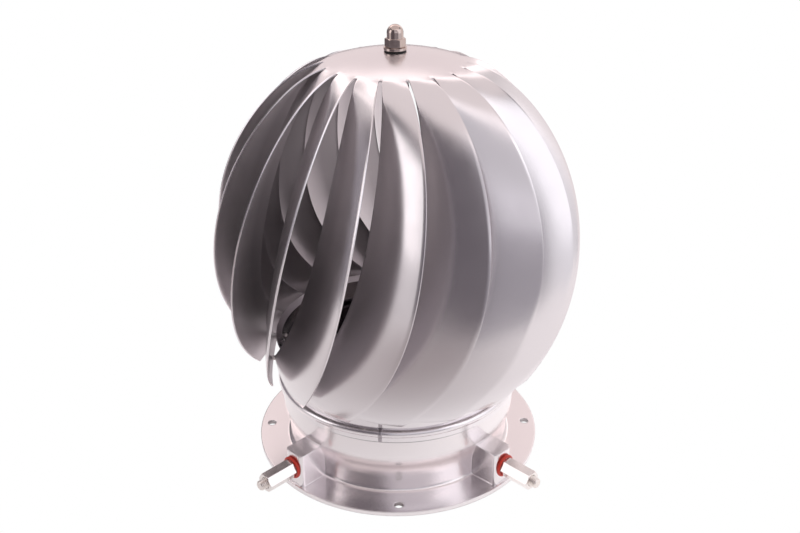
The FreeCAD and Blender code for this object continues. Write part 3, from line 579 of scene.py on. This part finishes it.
def stud_points(azimuth):
    """A rod along a radius, chamfered at its ends and threaded at its outer end.

    The thread's crest and root have small flats, because its flanks are steeper than 1.
    """
    thread_start = STUD_TIP - THREAD_LENGTH
    rows = round(THREAD_LENGTH / THREAD_PITCH * ROWS_PER_TURN)
    shank = [STUD_FOOT, STUD_FOOT + STUD_CHAMFER]
    along = np.concatenate([shank, np.linspace(thread_start, STUD_TIP, rows)])[:, None]
    turn = np.arange(STUD_SIDES)[None, :] * (2 * math.pi / STUD_SIDES)
    wave = np.abs(2 * ((along / THREAD_PITCH - turn / (2 * math.pi)) % 1) - 1)
    flat = (THREAD_FLANK - 1) / 2
    cut = np.clip(THREAD_FLANK * wave - flat, 0, 1) * (along > thread_start)
    chamfer = STUD_RADIUS - STUD_CHAMFER + np.minimum(along - STUD_FOOT, STUD_TIP - along)
    radius = np.minimum(STUD_RADIUS - THREAD_DEPTH * cut, chamfer)
    angle = math.radians(azimuth)
    outward = np.array((math.cos(angle), math.sin(angle), 0))
    sideways = np.array((-math.sin(angle), math.cos(angle), 0))
    upward = np.array((0, 0, 1))
    points = (outward * along[..., None] + sideways * (radius * np.sin(turn))[..., None]
              + upward * (STUD_HEIGHT + radius * np.cos(turn))[..., None])
    return points * MM


for number, azimuth in enumerate(STUD_AZIMUTHS, start=1):
    rod = stud_points(azimuth)
    stud = add_piece(f"threaded_stud_{number}", rod.reshape(-1, 3).tolist(),
                     tube_faces(*rod.shape[:2]), THREAD)
    smooth(stud.data, THREAD_SHARP_ANGLE)
    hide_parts(f"stud_{number}")
    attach(stud, "base")
print("stud faces:", len(stud.data.polygons))

# %% Ring seam
SEAM_AZIMUTH = -8.0
SEAM_ACROSS = (-1.5, -1.15, 1.15, 1.5)
SEAM_RISE = (-0.1, 0.3, 0.3, -0.1)
SEAM_SHARP_ANGLE = 20
BEAD_STEPS = 13
LIP_RADIUS = 96.2
LIP_BOTTOM = 53.0
BEAD_BOTTOM = 56.6
BEAD_FULLNESS = 1.06
BAND_RADIUS = 93.5
BAND_BOTTOM = 62.4
BAND_TOP = 93.0


def ring_outline():
    """Outer side of the ring as (radius, height) from lip to band, and the way it faces."""
    lip = np.array((LIP_RADIUS, BEAD_BOTTOM))
    band = np.array((BAND_RADIUS, BAND_BOTTOM))
    way = band - lip
    half = np.linalg.norm(way) / 2
    inward = np.array((-way[1], way[0])) / (2 * half)
    bead = half * BEAD_FULLNESS
    centre = (lip + band) / 2 + inward * math.sqrt(bead ** 2 - half ** 2)
    first, last = (math.atan2(end[1], end[0]) for end in (lip - centre, band - centre))
    angle = np.linspace(first, last, BEAD_STEPS)
    facing = np.stack([np.cos(angle), np.sin(angle)], axis=-1)
    level = [(1.0, 0.0)]
    outline = np.concatenate([[(LIP_RADIUS, LIP_BOTTOM)], centre + bead * facing,
                              [(BAND_RADIUS, BAND_BOTTOM + SHEET), (BAND_RADIUS, BAND_TOP)]])
    return outline, np.concatenate([level, facing, level, level])


outline, facing = ring_outline()
rise = np.array(SEAM_RISE)[None, :]
radius = outline[:, :1] + facing[:, :1] * rise
height = outline[:, 1:] + facing[:, 1:] * rise
azimuth = SEAM_AZIMUTH + np.degrees(np.array(SEAM_ACROSS)[None, :] / outline[:, :1])
strip = polar(radius, azimuth, height)
seam = add_piece("ring_seam", strip.reshape(-1, 3).tolist(), tube_faces(*strip.shape[:2]), SEAM)
smooth(seam.data, SEAM_SHARP_ANGLE)
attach(seam, "rotor")
print("seam faces:", len(seam.data.polygons))

# %% [markdown]
# ## Floor, light and camera
# The floor is plain white to the camera. In the metal it glows softly, less towards the front
# left, and is dark inside the flue. Large soft lights stand round the part, and the camera has
# the photo's view. Sizes and places are in metres here, and angles in degrees.


# %% Floor
def white_to_camera(tree, other):
    """Plain white where the camera looks straight at it, another shader in every other way."""
    path = add_node(tree, "ShaderNodeLightPath").outputs
    white = add_node(tree, "ShaderNodeEmission", {"Color": (1, 1, 1, 1), "Strength": 1.0})
    return add_node(tree, "ShaderNodeMixShader", {
        0: path["Is Camera Ray"], 1: other, 2: white.outputs[0]}).outputs[0]


FLOOR_LEFT = -0.8
FLOOR_RIGHT = 0.8
FLOOR_FRONT = -0.7
FLOOR_BACK = 1.4
FLOOR_DROP = 0.5 * MM
DARK_CORNER = (-0.33, -0.42, 0)
DARK_REACH = 0.15
BRIGHT_REACH = 0.58
WIDE_GLOW = 0.52
NEAR_START = 0.26
NEAR_FULL = 0.14
NEAR_GLOW = 0.2
FLUE_EDGE = 0.104
FLANGE_EDGE = 0.114
floor_corners = [(FLOOR_LEFT, FLOOR_FRONT, 0), (FLOOR_RIGHT, FLOOR_FRONT, 0),
                 (FLOOR_RIGHT, FLOOR_BACK, 0), (FLOOR_LEFT, FLOOR_BACK, 0)]
floor_mesh = bpy.data.meshes.new("floor")
floor_mesh.from_pydata(floor_corners, [], [(0, 1, 2, 3)])
floor = bpy.data.objects.new("floor", floor_mesh)
floor.location.z = -FLOOR_DROP
scene.collection.objects.link(floor)
floor_paint, floor_tree, floor_shader = new_material("pale paper", "#bab6b6", 0.0, 0.9)
floor_shader.inputs["Emission Color"].default_value = (1, 1, 1, 1)
floor_place = add_node(floor_tree, "ShaderNodeTexCoord").outputs["Object"]
floor_reach = add_node(floor_tree, "ShaderNodeVectorMath", {0: floor_place, 1: DARK_CORNER},
                       operation="DISTANCE").outputs["Value"]
floor_radius = add_node(floor_tree, "ShaderNodeVectorMath", {0: floor_place},
                        operation="LENGTH").outputs["Value"]
wide_share = ramp(floor_tree, floor_reach, DARK_REACH, BRIGHT_REACH)
near_share = ramp(floor_tree, floor_radius, NEAR_START, NEAR_FULL)
all_glow = maths(floor_tree, "ADD", maths(floor_tree, "MULTIPLY", wide_share, WIDE_GLOW),
                 maths(floor_tree, "MULTIPLY", near_share, NEAR_GLOW))
outside = ramp(floor_tree, floor_radius, FLUE_EDGE, FLANGE_EDGE)
floor_light = maths(floor_tree, "MULTIPLY", all_glow, outside)
floor_tree.links.new(floor_light, floor_shader.inputs["Emission Strength"])
floor_tree.links.new(white_to_camera(floor_tree, floor_shader.outputs[0]),
                     floor_tree.nodes["Material Output"].inputs["Surface"])
floor_mesh.materials.append(floor_paint)
print("floor faces:", len(floor_mesh.polygons))

# %% World
world = bpy.data.worlds.new("studio")
world.use_nodes = True
scene.world = world
sky = world.node_tree
background = sky.nodes["Background"]
background.inputs["Color"].default_value = linear("#6c666c")
background.inputs["Strength"].default_value = 1.0
sky.links.new(white_to_camera(sky, background.outputs[0]),
              sky.nodes["World Output"].inputs["Surface"])


# %% Lights
def soft_wall(name, azimuth, rise, width, height, brightness, colour):
    """A large soft light round the part; brightness 1 looks white in a mirror."""
    data = bpy.data.lights.new(name, "AREA")
    data.shape = "RECTANGLE"
    data.size = width
    data.size_y = height
    data.energy = brightness * math.pi * width * height
    data.color = linear(colour)[:3]
    light = bpy.data.objects.new(name, data)
    turn = math.radians(azimuth)
    lift = math.radians(rise)
    away = Vector((math.sin(turn) * math.cos(lift), -math.cos(turn) * math.cos(lift),
                   math.sin(lift)))
    light.location = MIDDLE + away * LIGHT_DISTANCE
    light.rotation_euler = away.to_track_quat("Z", "Y").to_euler()
    light.visible_camera = False
    scene.collection.objects.link(light)


MIDDLE = Vector((0, 0, 0.18))
LIGHT_DISTANCE = 1.7
soft_wall("left box", -73, 20, 0.8, 1.0, 0.75, "#fffafa")
soft_wall("left box edge", -74, 12, 1.0, 1.5, 0.6, "#fffafa")
soft_wall("left dim wall", -112, 8, 0.9, 1.2, 0.15, "#fbf4ff")
soft_wall("left back wall", -135, 38, 1.3, 0.8, 0.6, "#fff6f4")
soft_wall("right box", 66, 22, 1.1, 1.4, 0.5, "#fbfbff")
soft_wall("right box edge", 68, 14, 1.7, 2.2, 0.7, "#fbfbff")
soft_wall("right back wall", 125, 10, 2.1, 1.7, 0.8, "#fff8f6")
soft_wall("back wall", 180, 32, 2.2, 2.0, 0.75, "#fff0ed")
soft_wall("ceiling", 180, 88, 3.2, 3.0, 0.7, "#fff4f1")
soft_wall("front panel", 16, 34, 1.5, 1.5, 0.5, "#fcfaff")
soft_wall("front dim panel", 16, 4, 1.5, 1.2, 0.22, "#f8f6ff")
print("lights:", len(bpy.data.lights))

# %% Camera
FOCAL_PIXELS = 966.9
IMAGE_WIDTH = 800
SENSOR = 36.0
SHIFT_PIXELS = 2.94
CAMERA_PLACE = (0, -0.67569, 0.48216)
CAMERA_TILT = 63.622
CAMERA_TURN = -0.2014
CAMERA_ROLL = -0.357
camera_data = bpy.data.cameras.new("camera")
camera_data.sensor_width = SENSOR
camera_data.lens = FOCAL_PIXELS / IMAGE_WIDTH * SENSOR
camera_data.shift_y = SHIFT_PIXELS / IMAGE_WIDTH
camera = bpy.data.objects.new("camera", camera_data)
camera.location = CAMERA_PLACE
aim = Euler((math.radians(CAMERA_TILT), 0, math.radians(CAMERA_TURN))).to_matrix()
roll = Matrix.Rotation(math.radians(CAMERA_ROLL), 3, "Z")
camera.rotation_euler = (aim @ roll).to_euler()
scene.collection.objects.link(camera)
scene.camera = camera
scene.view_settings.view_transform = "Standard"
print("camera lens:", round(camera_data.lens, 1))
